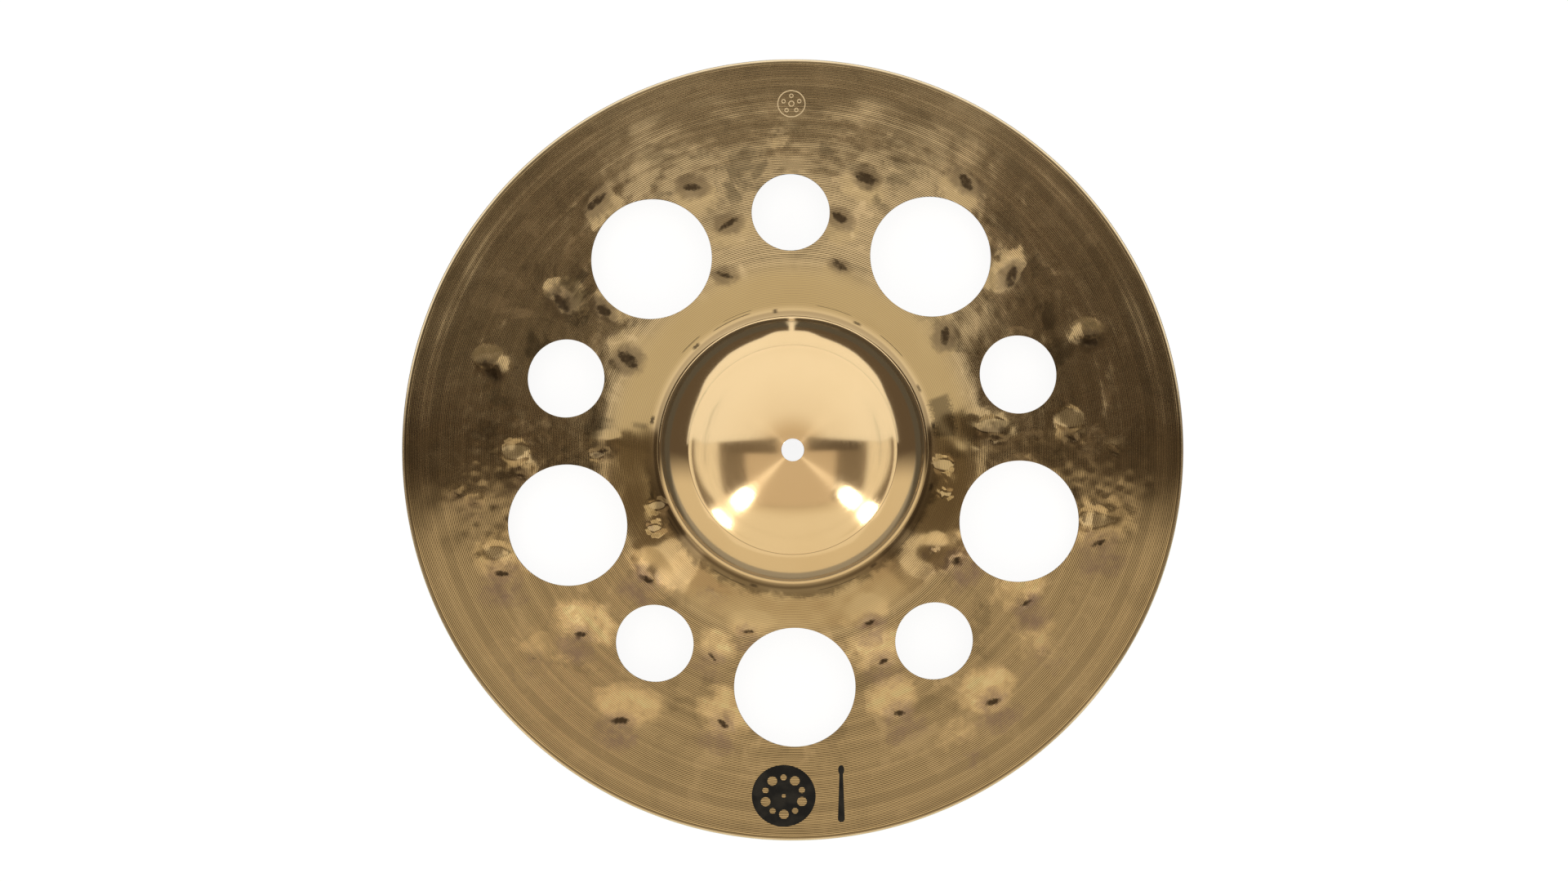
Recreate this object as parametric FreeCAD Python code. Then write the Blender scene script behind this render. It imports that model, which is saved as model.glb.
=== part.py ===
import FreeCAD, Part
import math
import os

from FreeCAD import Vector

# 18 inch perforated crash cymbal: a bronze disc (mounting hole, two-tier bell,
# bow, rounded rim, ten tone holes) and the ink mark printed on its top face.
# Millimetres, +Z up.  The origin is on the cymbal's axis, in the plane the rim
# rests on.  The ink mark is on the -Y side.

# ---- overall sizes --------------------------------------------------------
RIM_R = 228.6            # 18 in nominal diameter
HOLE_R = 6.35            # half-inch mounting hole in the crown
HOLE_DEBURR = 0.15       # broken edge of the mounting hole
EDGE_ROUND = 0.40        # rounding of the rim, top and bottom

# ---- radial section -------------------------------------------------------
# Columns: radius of the top face, its downward slope in degrees, and the wall
# thickness square to it.  One arc tangent to both slopes joins each pair of
# neighbours, so neighbouring slopes must differ.
STATIONS = [
    (HOLE_R + HOLE_DEBURR, 1.5, 1.50),    # start of the crown, at the hole
    (49.5, 15.0, 1.45),                   # crown
    (56.6, 11.6, 1.42),                   # flatter ring between crown and shoulder
    (58.6, 15.0, 1.41),                   # outer side of that ring
    (59.2, 28.0, 1.40),                   # crease where the shoulder turns down
    (74.6, 52.0, 1.30),                   # shoulder and flank of the bell
    (77.6, 9.4, 1.25),                    # fillet at the foot of the bell
    (176.0, 10.9, 1.00),                  # inner bow, which holds every tone hole
    (RIM_R - 8.0, 13.6, 0.86),            # outer bow
    (RIM_R - EDGE_ROUND, 14.8, 0.84),     # last 8 mm, drawn down a little more
]
RADII, SLOPES_DEG, WALLS = zip(*STATIONS)
SLOPES = [math.radians(slope) for slope in SLOPES_DEG]
OUTER_BOW = len(STATIONS) - 3             # index of the arc that carries the mark

# ---- tone holes: two sizes alternating on one circle ----------------------
TONE_COUNT = 5           # of each size
TONE_PITCH_R = 137.0
TONE_BIG_R = 35.0
TONE_SMALL_R = 22.5
TONE_DEBURR = 0.15
TONE_STARTS = [(90.0, TONE_SMALL_R), (-90.0, TONE_BIG_R)]   # first angle, radius

# ---- ink mark -------------------------------------------------------------
INK_THICK = 0.08         # printed film
INK_SECTOR = 30          # degrees of film, centred on -Y, that the mark is cut from
MARK_X, MARK_Y = -7.0, -201.4             # centre of the small picture of the disc
MARK_R = 18.6
MARK_SCALE = MARK_R / RIM_R
MARK_HUB_R = 1.2         # its mounting hole
STICK_X = 26.5           # picture of a drumstick beside it, tip towards the axis
STICK_TOP, STICK_BUTT = -183.2, -217.6    # y of its two ends
STICK_BUTT_R = 2.0       # half width at the butt
STICK_NECK_R = 0.95      # half width at the tip's end of the shaft
TIP_HALF_WIDTH, TIP_HALF_LENGTH = 1.75, 2.9

# ---- cutting tools: upright prisms that pass right through the disc -------
TOOL_BASE_Z = -5
PUNCH_HEIGHT = 80        # tone holes
STENCIL_HEIGHT = 60      # ink mark

ORIGIN = Vector(0, 0, 0)
UP = Vector(0, 0, 1)


# ---- section geometry: points are (radius, z) -----------------------------
def below(point, slope, depth):
    """The point at this depth under the top face, measured square to it."""
    return (point[0] - depth * math.sin(slope), point[1] - depth * math.cos(slope))


def point_on_arc(start, start_slope, bend_r, slope):
    """Where the arc leaving start at start_slope has turned to slope."""
    return (
        start[0] + bend_r * (math.sin(slope) - math.sin(start_slope)),
        start[1] - bend_r * (math.cos(start_slope) - math.cos(slope)),
    )


def top_profile(start_z):
    """The stations of the top face, and the middle point of each arc."""
    points, middles = [(RADII[0], start_z)], []
    for radius, slope, next_slope in zip(RADII[1:], SLOPES, SLOPES[1:]):
        start = points[-1]
        bend_r = (radius - start[0]) / (math.sin(next_slope) - math.sin(slope))
        middles.append(point_on_arc(start, slope, bend_r, (slope + next_slope) / 2))
        end = point_on_arc(start, slope, bend_r, next_slope)
        points.append((radius, end[1]))
    return points, middles


def in_section(point):
    return Vector(point[0], 0, point[1])


def line(start, end):
    return Part.LineSegment(in_section(start), in_section(end)).toShape()


def arc(start, middle, end):
    return Part.Arc(in_section(start), in_section(middle), in_section(end)).toShape()


def bulge(start, end, centre):
    """An arc bulging away from centre, at the mean distance of its two ends."""
    x = (start[0] + end[0]) / 2 - centre[0]
    z = (start[1] + end[1]) / 2 - centre[1]
    reach = (math.dist(start, centre) + math.dist(end, centre)) / 2 / math.hypot(x, z)
    return arc(start, (centre[0] + x * reach, centre[1] + z * reach), end)


def face_inside(edges):
    return Part.Face(Part.Wire(Part.__sortEdges__(edges)))


def lower_round_centre(rim_point):
    """Centre of the rim's lower rounding, from the last station of the top face."""
    return below(below(rim_point, SLOPES[-1], WALLS[-1]), SLOPES[-1], -EDGE_ROUND)


# A trial profile from z = 0 shows how far up the real one starts: the centre of
# the rim's lower rounding has to be EDGE_ROUND above the ground plane.
trial_points, _ = top_profile(0.0)
START_Z = EDGE_ROUND - lower_round_centre(trial_points[-1])[1]

TOP, TOP_MID = top_profile(START_Z)
MID_SLOPES = [(a + b) / 2 for a, b in zip(SLOPES, SLOPES[1:])]
MID_WALLS = [(a + b) / 2 for a, b in zip(WALLS, WALLS[1:])]

TONE_HOLES = []          # x, y, radius
for k in range(TONE_COUNT):
    for first_angle, radius in TONE_STARTS:
        angle = math.radians(first_angle + 360 / TONE_COUNT * k)
        TONE_HOLES.append(
            (TONE_PITCH_R * math.cos(angle), TONE_PITCH_R * math.sin(angle), radius)
        )


def column(x, y, radius, height):
    return Part.makeCylinder(radius, height, Vector(x, y, TOOL_BASE_Z), UP)


# ---- cymbal disc ----------------------------------------------------------
def disc_section():
    bottom = [below(*station) for station in zip(TOP, SLOPES, WALLS)]
    bottom_mid = [below(*middle) for middle in zip(TOP_MID, MID_SLOPES, MID_WALLS)]
    arc_count = len(TOP_MID)

    edges = [arc(TOP[i], TOP_MID[i], TOP[i + 1]) for i in range(arc_count)]

    # Rim: rounding, short upright wall, rounding.
    upper_centre = below(TOP[-1], SLOPES[-1], EDGE_ROUND)
    lower_centre = lower_round_centre(TOP[-1])
    rim_top = (RIM_R, upper_centre[1])
    rim_bottom = (RIM_R, lower_centre[1])
    edges.append(bulge(TOP[-1], rim_top, upper_centre))
    edges.append(line(rim_top, rim_bottom))
    edges.append(bulge(rim_bottom, bottom[-1], lower_centre))

    for i in reversed(range(arc_count)):
        edges.append(arc(bottom[i + 1], bottom_mid[i], bottom[i]))

    # Mounting hole: broken edge, straight wall, broken edge.
    wall_top = (HOLE_R, TOP[0][1] - HOLE_DEBURR)
    wall_bottom = (HOLE_R, bottom[0][1] + HOLE_DEBURR)
    edges.append(line(bottom[0], wall_bottom))
    edges.append(line(wall_bottom, wall_top))
    edges.append(line(wall_top, TOP[0]))
    return face_inside(edges)


def tone_hole_rims(solid):
    """The rims of the tone holes, top and bottom, without the seams down their walls."""
    rims = []
    for edge in solid.Edges:
        if edge.Length < 3 * max(WALLS):
            continue
        first, last = edge.FirstParameter, edge.LastParameter
        points = [edge.valueAt(first + f * (last - first)) for f in (0.1, 0.35, 0.6, 0.85)]
        if any(
            all(abs(math.hypot(p.x - x, p.y - y) - radius) < 0.02 for p in points)
            for x, y, radius in TONE_HOLES
        ):
            rims.append(edge)
    return rims


def make_disc():
    disc = disc_section().revolve(ORIGIN, UP, 360).Solids[0]
    for x, y, radius in TONE_HOLES:
        disc = disc.cut(column(x, y, radius, PUNCH_HEIGHT))
    disc = disc.Solids[0]

    # Guards against a fillet that breaks the solid: the edges then stay sharp.
    eased = disc.makeFillet(TONE_DEBURR, tone_hole_rims(disc))
    if eased.isValid() and len(eased.Solids) == 1 and 0 < disc.Volume - eased.Volume < 50:
        disc = eased.Solids[0]
    return disc


# ---- ink mark: film on the outer bow, cut to shape by upright stencils ----
def make_film():
    """A sector of film between the top face and an offset of it."""
    start, middle, end = TOP[OUTER_BOW], TOP_MID[OUTER_BOW], TOP[OUTER_BOW + 1]
    start_up = below(start, SLOPES[OUTER_BOW], -INK_THICK)
    middle_up = below(middle, MID_SLOPES[OUTER_BOW], -INK_THICK)
    end_up = below(end, SLOPES[OUTER_BOW + 1], -INK_THICK)
    film = face_inside([
        arc(start, middle, end),
        line(end, end_up),
        arc(end_up, middle_up, start_up),
        line(start_up, start),
    ])
    film.rotate(ORIGIN, UP, -90 - INK_SECTOR / 2)
    return film.revolve(ORIGIN, UP, INK_SECTOR)


def disc_stencil():
    """The cymbal in plan, at MARK_SCALE."""
    stencil = column(MARK_X, MARK_Y, MARK_R, STENCIL_HEIGHT)
    stencil = stencil.cut(column(MARK_X, MARK_Y, MARK_HUB_R, STENCIL_HEIGHT))
    for x, y, radius in TONE_HOLES:
        stencil = stencil.cut(column(
            MARK_X + x * MARK_SCALE, MARK_Y + y * MARK_SCALE,
            radius * MARK_SCALE, STENCIL_HEIGHT,
        ))
    return stencil


def stick_stencil():
    """Tapered shaft with a round butt and an oval tip."""
    tip_y = STICK_TOP - TIP_HALF_LENGTH
    butt_y = STICK_BUTT + STICK_BUTT_R
    corners = [
        (-STICK_BUTT_R, butt_y),
        (STICK_BUTT_R, butt_y),
        (STICK_NECK_R, tip_y),
        (-STICK_NECK_R, tip_y),
        (-STICK_BUTT_R, butt_y),
    ]
    outline = Part.makePolygon([Vector(STICK_X + x, y, TOOL_BASE_Z) for x, y in corners])
    shaft = Part.Face(outline).extrude(UP * STENCIL_HEIGHT)

    oval = Part.Ellipse(ORIGIN, TIP_HALF_LENGTH, TIP_HALF_WIDTH).toShape()
    tip = Part.Face(Part.Wire(oval)).extrude(UP * STENCIL_HEIGHT)
    tip.rotate(ORIGIN, UP, 90)             # long axis along Y
    tip.translate(Vector(STICK_X, tip_y, TOOL_BASE_Z))
    return shaft.fuse([tip, column(STICK_X, butt_y, STICK_BUTT_R, STENCIL_HEIGHT)])


def make_mark():
    film = make_film()
    stencils = [disc_stencil(), stick_stencil()]
    return Part.makeCompound(
        [solid for stencil in stencils for solid in film.common(stencil).Solids]
    )


os.makedirs("parts", exist_ok=True)
make_disc().exportStep("parts/cymbal_disc.step")
make_mark().exportStep("parts/printed_mark.step")
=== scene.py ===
import math

import bpy
import numpy as np
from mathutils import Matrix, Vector
from mathutils.geometry import delaunay_2d_cdt


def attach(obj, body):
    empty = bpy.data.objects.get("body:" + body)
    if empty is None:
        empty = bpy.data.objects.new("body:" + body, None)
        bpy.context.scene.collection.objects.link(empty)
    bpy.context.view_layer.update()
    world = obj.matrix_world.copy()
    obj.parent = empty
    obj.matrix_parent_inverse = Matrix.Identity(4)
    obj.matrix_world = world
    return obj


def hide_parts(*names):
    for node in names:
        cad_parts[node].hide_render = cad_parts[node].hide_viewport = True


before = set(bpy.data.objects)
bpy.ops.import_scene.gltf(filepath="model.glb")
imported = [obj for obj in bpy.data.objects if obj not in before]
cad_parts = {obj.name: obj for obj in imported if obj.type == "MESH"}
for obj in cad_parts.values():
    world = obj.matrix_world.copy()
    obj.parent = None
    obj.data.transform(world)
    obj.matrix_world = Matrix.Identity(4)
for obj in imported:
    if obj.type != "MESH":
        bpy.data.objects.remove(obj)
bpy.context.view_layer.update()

# Looks for a perforated crash cymbal.  The disc lies bell up with its axis on Z and the
# lowest point of its rim at z = 0; -Y is the front, where the printed mark is.
# Lengths are millimetres until a mesh is written, which is in metres; the stage, lamps
# and camera are in metres.  The bronze disc is rebuilt from the same profile as the CAD
# part, with its hammer marks as real dents.

# ---------------------------------------------------------------- the shape
RIM_R = 228.6
EDGE_ROUND = 0.40
HOLE_R, DEBURR = 6.35, 0.15                # mounting hole and its eased edge
TONE_PITCH_R, TONE_BIG_R, TONE_SMALL_R, TONE_DEBURR = 137.0, 35.0, 22.5, 0.15
# Stations of the top face: radius, downward slope in degrees, thickness.
PROFILE = [
    (6.5, 1.5, 1.50), (49.5, 15.0, 1.45), (56.6, 11.6, 1.42), (58.99, 15.0, 1.41),
    (59.01, 28.0, 1.40), (74.6, 52.0, 1.30), (77.6, 9.4, 1.25), (176.0, 10.9, 1.00),
    (220.6, 13.6, 0.86), (228.2, 14.8, 0.84),
]
STATION_R, STATION_DEG, THICKNESS = np.array(PROFILE).T
STATION_SLOPE = np.radians(STATION_DEG)
STATION_SIN = np.sin(STATION_SLOPE)
# Neighbouring stations are joined by circular arcs.
ARC_R = np.diff(STATION_R) / np.diff(STATION_SIN)


def station_heights():
    cosine = np.cos(STATION_SLOPE)
    z = np.concatenate([[0.0], -np.cumsum(ARC_R * (cosine[:-1] - cosine[1:]))])
    lowest = z[-1] - THICKNESS[-1] * cosine[-1] + EDGE_ROUND * cosine[-1] - EDGE_ROUND
    return z - lowest


STATION_Z = station_heights()


def top_profile(r):
    """Slope (radians) and height of the top face at radius r, before any dent."""
    r = np.clip(np.asarray(r, float), STATION_R[0], STATION_R[-1])
    i = np.clip(np.searchsorted(STATION_R, r, side="right") - 1, 0, len(STATION_R) - 2)
    slope = np.arcsin(STATION_SIN[i] + (r - STATION_R[i]) / ARC_R[i])
    return slope, STATION_Z[i] - ARC_R[i] * (np.cos(STATION_SLOPE[i]) - np.cos(slope))


def under_table():
    """Radius, slope and height of the under face: the top face moved in by the thickness."""
    r = np.unique(np.concatenate([np.linspace(STATION_R[0], STATION_R[-1], 6000), STATION_R]))
    slope, z = top_profile(r)
    thickness = np.interp(r, STATION_R, THICKNESS)
    return r - thickness * np.sin(slope), slope, z - thickness * np.cos(slope)


UNDER_R, UNDER_SLOPE, UNDER_Z = under_table()


def under_profile(r):
    return np.interp(r, UNDER_R, UNDER_SLOPE), np.interp(r, UNDER_R, UNDER_Z)


TONE_HOLES = []                            # x, y, radius
for k in range(5):
    for base, hole_r in ((90.0, TONE_SMALL_R), (-90.0, TONE_BIG_R)):
        angle = math.radians(base + 72.0 * k)
        TONE_HOLES.append((TONE_PITCH_R * math.cos(angle), TONE_PITCH_R * math.sin(angle), hole_r))

# ---------------------------------------------------------------- hammer marks
# Each single blow: x, y, radius, depth.
BLOWS = [
    # outer ring
    (-112.8, 144.8, 9.0, 0.46), (-56.9, 152.4, 8.5, 0.42), (43.8, 156.6, 8.5, 0.44),
    (102.3, 154.3, 9.5, 0.52), (127.4, 99.3, 9.5, 0.48), (172.8, 61.6, 9.0, 0.62),
    (161.0, 5.5, 7.0, 0.42), (177.2, -55.6, 10.5, 0.62), (133.9, -90.0, 8.5, 0.40),
    (115.0, -147.4, 9.5, 0.42), (60.2, -152.9, 9.0, 0.38), (-41.6, -158.2, 9.0, 0.38),
    (-101.5, -156.4, 9.5, 0.44), (-123.6, -105.6, 9.0, 0.42), (-169.6, -70.3, 10.5, 0.56),
    (-157.0, -13.5, 6.5, 0.40), (-174.5, 47.0, 9.0, 0.62), (-133.2, 86.2, 9.0, 0.50),
    # inner ring
    (-36.0, 130.5, 8.0, 0.34), (-38.1, 100.4, 7.0, 0.24), (28.2, 133.6, 8.0, 0.34),
    (27.6, 105.6, 7.0, 0.24), (-94.1, 52.4, 9.5, 0.40), (-108.9, 0.4, 6.5, 0.50),
    (-78.5, -37.5, 4.2, 0.28), (-84.6, -73.4, 8.5, 0.30), (-47.6, -118.2, 7.5, 0.24),
    (-26.4, -104.0, 7.0, 0.26), (43.4, -99.4, 7.5, 0.32), (51.0, -122.2, 8.5, 0.26),
    (93.4, -64.6, 8.5, 0.30), (86.0, -18.0, 4.2, 0.28), (115.9, 6.2, 10.0, 0.62),
    (88.0, 64.8, 8.5, 0.34), (43.4, 68.9, 7.0, 0.20), (-42.9, -75.8, 7.0, 0.20),
    (-108.3, 81.4, 8.0, 0.30), (80.0, -60.0, 6.0, 0.16),
    # strays
    (-7.4, 183.7, 5.5, 0.14), (-195.2, -24.2, 5.5, 0.20), (-184.7, -29.6, 5.5, 0.20),
    (187.5, -3.6, 5.0, 0.22), (100.0, -172.0, 9.0, 0.14), (-150.0, -120.0, 10.0, 0.14),
    (143.0, -118.0, 10.0, 0.14),
]
BLOW_SHAPE = np.random.default_rng(7).uniform(-1, 1, (len(BLOWS), 6))

# Flat, burnished places beside some blows, tilted towards +Y: x, y, radius, tangent of the tilt.
FACETS = [
    (85.8, -9.2, 6.5, 0.14), (86.8, -26.0, 4.5, 0.17), (-77.5, -31.0, 5.8, 0.17),
    (-79.5, -44.0, 5.4, 0.20), (-160.6, 0.5, 9.0, 0.12), (160.0, 17.0, 9.5, 0.10),
    (-112.8, -2.0, 4.5, 0.14), (114.5, 12.0, 8.5, 0.10), (-177.4, 56.5, 9.0, 0.08),
    (172.0, 69.5, 9.0, 0.08), (174.0, -43.0, 10.5, 0.09), (-172.5, -59.0, 9.0, 0.09),
    (-136.5, 94.5, 8.5, 0.06), (127.0, 106.5, 9.0, 0.06), (88.5, 58.0, 6.5, 0.05),
]
FACET_STRETCH = (1.15, 0.9)                # along X and Y

# Loose rings of shallow pits: ring radius, spacing, strength.
PIT_RINGS = [
    (104, 7.2, 0.30), (111, 7.0, 0.45), (118, 6.8, 0.55), (126, 6.6, 0.60), (134, 6.4, 0.70),
    (142, 6.4, 0.85), (149, 6.2, 1.0), (156, 6.2, 1.0), (163, 6.0, 1.0), (170, 6.0, 1.0),
    (177, 6.0, 1.0), (184, 6.0, 0.95), (191, 6.0, 0.85), (198, 6.2, 0.6), (205, 6.6, 0.35),
]

# The surface stays exact under the printed mark, so that the ink lies on it.
MARK_X, MARK_Y, MARK_HALF_X, MARK_HALF_Y = 5.0, -201.0, 48.0, 26.0


def seeded_pits():
    """Many shallow overlapping blows: x, y, radius, depth."""
    rng = np.random.default_rng(18)
    pits = []
    for ring_r, spacing, strength in PIT_RINGS:
        count = int(2 * math.pi * ring_r / spacing)
        for j in range(count):
            if rng.random() < 0.18:
                continue
            angle = 2 * math.pi * (j + rng.uniform(-0.42, 0.42)) / count
            r = ring_r + rng.normal(0, 1.9)
            radius = rng.uniform(3.2, 5.4)
            # deepest at the left and right of the disc
            depth = strength * rng.uniform(0.25, 1.0) * (0.08 + 0.09 * abs(math.cos(angle)) ** 3)
            pits.append((r * math.cos(angle), r * math.sin(angle), radius, depth))
    return pits


def seeded_waves():
    """Waves that add up to a hammered sheet's unevenness: X and Y frequency, phase, height."""
    rng = np.random.default_rng(41)
    waves = []
    # shortest and longest wavelength, number of waves, slope
    for low, high, count, slope in ((34, 62, 16, 0.0125), (17, 32, 26, 0.0105),
                                    (9, 15, 26, 0.0042)):
        for _ in range(count):
            length = rng.uniform(low, high)
            heading = rng.uniform(0, math.pi)
            phase = rng.uniform(0, 2 * math.pi)
            height = slope * math.sqrt(2.0 / count) * length / (2 * math.pi)
            waves.append((math.cos(heading) / length, math.sin(heading) / length, phase, height))
    return waves


PITS = seeded_pits()
WAVES = seeded_waves()


def fade(value, start, end):
    """Smooth step from 0 at start to 1 at end, and its derivative."""
    t = np.clip((value - start) / (end - start), 0, 1)
    return t * t * (3 - 2 * t), 6 * t * (1 - t) / (end - start)


class Relief:
    """Height and gradient of the hammering at points x, y, how far each point is smoothed by a blow
    (worn), and how much painted shade it gets in the core of a blow and round it."""

    def __init__(self, x, y):
        self.x, self.y = x, y
        self.height, self.grad_x, self.grad_y = np.zeros((3, len(x)))
        self.worn, self.skin, self.blow_shade = np.zeros((3, len(x)))

    def ellipse(self, cx, cy, radius, sx, sy, turn):
        """Points inside a turned ellipse, their unit coordinates u, v, u*u + v*v, and the
        cosine and sine of the turn."""
        reach = radius * max(sx, sy)
        near = np.nonzero((np.abs(self.x - cx) < reach) & (np.abs(self.y - cy) < reach))[0]
        c, s = math.cos(turn), math.sin(turn)
        dx, dy = self.x[near] - cx, self.y[near] - cy
        u = (c * dx + s * dy) / (radius * sx)
        v = (-s * dx + c * dy) / (radius * sy)
        q = u * u + v * v
        m = q < 1
        return near[m], u[m], v[m], q[m], c, s

    def bowl(self, cx, cy, radius, depth, sx=1.0, sy=1.0, turn=0.0):
        near, u, v, q, c, s = self.ellipse(cx, cy, radius, sx, sy, turn)
        self.height[near] -= depth * (1 - q) ** 2
        du = -4 * (1 - q) * u / (radius * sx)
        dv = -4 * (1 - q) * v / (radius * sy)
        self.grad_x[near] -= depth * (c * du - s * dv)
        self.grad_y[near] -= depth * (s * du + c * dv)

    def mark(self, field, cx, cy, radius, sx, sy, turn, gain):
        near, _, _, q, _, _ = self.ellipse(cx, cy, radius, sx, sy, turn)
        field[near] = np.maximum(field[near], np.clip((1 - q) * gain, 0, 1))

    def strike(self, cx, cy, radius, depth, vary):
        """One blow; vary is six seeded numbers from -1 to 1."""
        centre_r = math.hypot(cx, cy)
        side = abs(cx) / centre_r
        # heading: towards the bell, or to +Y at the sides
        hx = -cx / centre_r * (1 - side ** 3)
        hy = -cy / centre_r * (1 - side ** 3) + side ** 3
        length = math.hypot(hx, hy)
        hx, hy = hx / length, hy / length
        turn = math.atan2(hy, hx) + 0.35 * vary[0]
        sign = -1.0 if side > 0.9 else 1.0
        shift = radius * (0.62 + 0.12 * vary[1])
        # the broad, shallow hollow, which is a swelling at the sides
        self.bowl(cx + hx * shift, cy + hy * shift, radius * 1.75, sign * depth * 0.95,
                  0.85 + 0.1 * vary[1], 1.2 - 0.1 * vary[1], turn)
        # the harder print of the ball
        self.bowl(cx, cy, radius * 0.62, depth * 0.30,
                  0.8 + 0.15 * vary[4], 1.35 - 0.2 * vary[4], turn)
        # the metal thrown up beside it
        self.bowl(cx - hx * radius * 0.55 + 1.5 * vary[2], cy - hy * radius * 0.55 + 1.5 * vary[3],
                  radius * 0.75, -depth * 0.16, 0.8, 1.3, turn)
        # two small dimples
        self.bowl(cx + 2.2 * vary[5], cy + 2.2 * vary[2], 2.4, 0.03 + 0.10 * depth,
                  1.3, 0.8, turn + 1.0)
        self.bowl(cx - 2.4 * vary[3], cy + 2.2 * vary[4], 2.0, 0.02 + 0.08 * depth,
                  0.8, 1.2, turn)

        gain = min(1.0, depth / 0.30)
        in_front = cy <= -30
        reach = shift * (1.7 if in_front else 1.1)
        self.mark(self.worn, cx + hx * reach, cy + hy * reach, radius * (2.2 if in_front else 1.75),
                  0.82 + 0.12 * vary[2], 1.15 + 0.2 * vary[3], turn, 1.25 * gain)
        # painted dark shade in the core of the blow, wider on the back half
        self.mark(self.skin, cx, cy, radius * (0.85 if cy > 20 else 0.54),
                  0.48 + 0.14 * vary[4], 1.25 + 0.3 * vary[5], turn + 0.5 * vary[3], 1.15 * gain)
        # painted shade round the core, and for blows on the front half beyond it too
        self.mark(self.blow_shade, cx, cy, radius * 1.25, 0.85 + 0.15 * vary[2], 1.2 + 0.2 * vary[1],
                  turn, (0.45 if in_front else 0.75) * gain)
        if cy < 0:
            self.mark(self.blow_shade, cx - hx * radius * 1.1 + 3 * vary[0], cy - hy * radius * 1.1,
                      radius * 1.5, 0.8, 1.3, turn, 0.42 * gain)

    def wave(self, freq_x, freq_y, phase, height):
        arg = 2 * np.pi * (freq_x * self.x + freq_y * self.y) + phase
        cosine = np.cos(arg)
        self.height += height * np.sin(arg)
        self.grad_x += height * 2 * np.pi * freq_x * cosine
        self.grad_y += height * 2 * np.pi * freq_y * cosine

    def fade_out(self):
        """Leave the bell, the very edge and the place of the printed mark undented."""
        x, y = self.x, self.y
        r = np.hypot(x, y)
        bell, bell_d = fade(r, 76.0, 90.0)
        # towards the rim down to 12 %, then to nothing at the edge
        rim, rim_d = fade(-r, -227.5, -206.0)
        rim, rim_d = 0.12 + 0.88 * rim, 0.88 * rim_d
        edge, edge_d = fade(-r, -228.0, -224.0)
        rim, rim_d = rim * edge, rim_d * edge + rim * edge_d
        mx, my = (x - MARK_X) / MARK_HALF_X, (y - MARK_Y) / MARK_HALF_Y
        mark_q = np.hypot(mx, my)
        mark, mark_d = fade(mark_q, 0.85, 1.25)
        full = bell * rim * mark
        radial = bell_d * rim * mark - bell * rim_d * mark
        safe_r, safe_q = np.maximum(r, 1e-9), np.maximum(mark_q, 1e-9)
        full_dx = radial * (x / safe_r) + bell * rim * mark_d * (mx / MARK_HALF_X / safe_q)
        full_dy = radial * (y / safe_r) + bell * rim * mark_d * (my / MARK_HALF_Y / safe_q)
        self.grad_x = self.grad_x * full + self.height * full_dx
        self.grad_y = self.grad_y * full + self.height * full_dy
        self.height *= full
        self.worn *= full
        self.skin *= mark
        self.blow_shade *= mark

    def facet(self, cx, cy, radius, tilt):
        sx, sy = FACET_STRETCH
        near, u, v, q, _, _ = self.ellipse(cx, cy, radius, sx, sy, 0.0)
        f, up = (1 - q * q) ** 2, self.y[near] - cy
        df = -8 * q * (1 - q * q)
        self.height[near] -= tilt * up * f
        self.grad_x[near] -= tilt * up * df * u / (radius * sx)
        self.grad_y[near] -= tilt * (f + up * df * v / (radius * sy))
        self.mark(self.worn, cx, cy, radius, sx, sy, 0.0, 2.6)


def hammered(x, y):
    relief = Relief(x, y)
    for pit in PITS:
        relief.bowl(*pit)
    for blow, vary in zip(BLOWS, BLOW_SHAPE):
        relief.strike(*blow, vary)
    for wave in WAVES:
        relief.wave(*wave)
    relief.fade_out()
    for facet in FACETS:
        relief.facet(*facet)
    return relief


def sheet(points, under=False):
    """Top or under face over 2D points: positions, outward unit normals, how much of the lathe's
    work is left, and the painted shade in the blows' cores and round them as two columns."""
    x, y = points[:, 0], points[:, 1]
    r = np.hypot(x, y)
    slope, z = (under_profile if under else top_profile)(r)
    relief = hammered(x, y)
    share = 0.9 if under else 1.0              # the dents are shallower underneath
    fall = -np.tan(slope)
    nx = -(fall * x / np.maximum(r, 1e-9) + share * relief.grad_x)
    ny = -(fall * y / np.maximum(r, 1e-9) + share * relief.grad_y)
    normals = np.stack([nx, ny, np.ones_like(nx)], 1)
    normals /= np.linalg.norm(normals, axis=1)[:, None]
    if under:
        normals = -normals
    xyz = np.column_stack([points, z + share * relief.height])
    return xyz, normals, 1 - relief.worn, np.stack([relief.skin, relief.blow_shade], 1)


# ---------------------------------------------------------------- points of the bow
BELL_SEGMENTS = 240
RIM_SEGMENTS = 900
BOW_R = 92.0                               # where the bell's rings meet the bow's triangles
HOLE_STEP = 1.5                            # point spacing round a tone hole
TOP_STEP, UNDER_STEP = 1.80, 2.75          # point spacing on the two faces
BLOW_STEP, FINE_DEPTH = 1.25, 0.2          # spacing inside blows at least this deep


def circle(cx, cy, r, count, phase=0.0):
    angle = 2 * np.pi * (np.arange(count) + phase) / count
    return np.stack([cx + r * np.cos(angle), cy + r * np.sin(angle)], 1)


def hole_count(r):
    return int(round(2 * math.pi * r / HOLE_STEP / 4)) * 4


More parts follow.
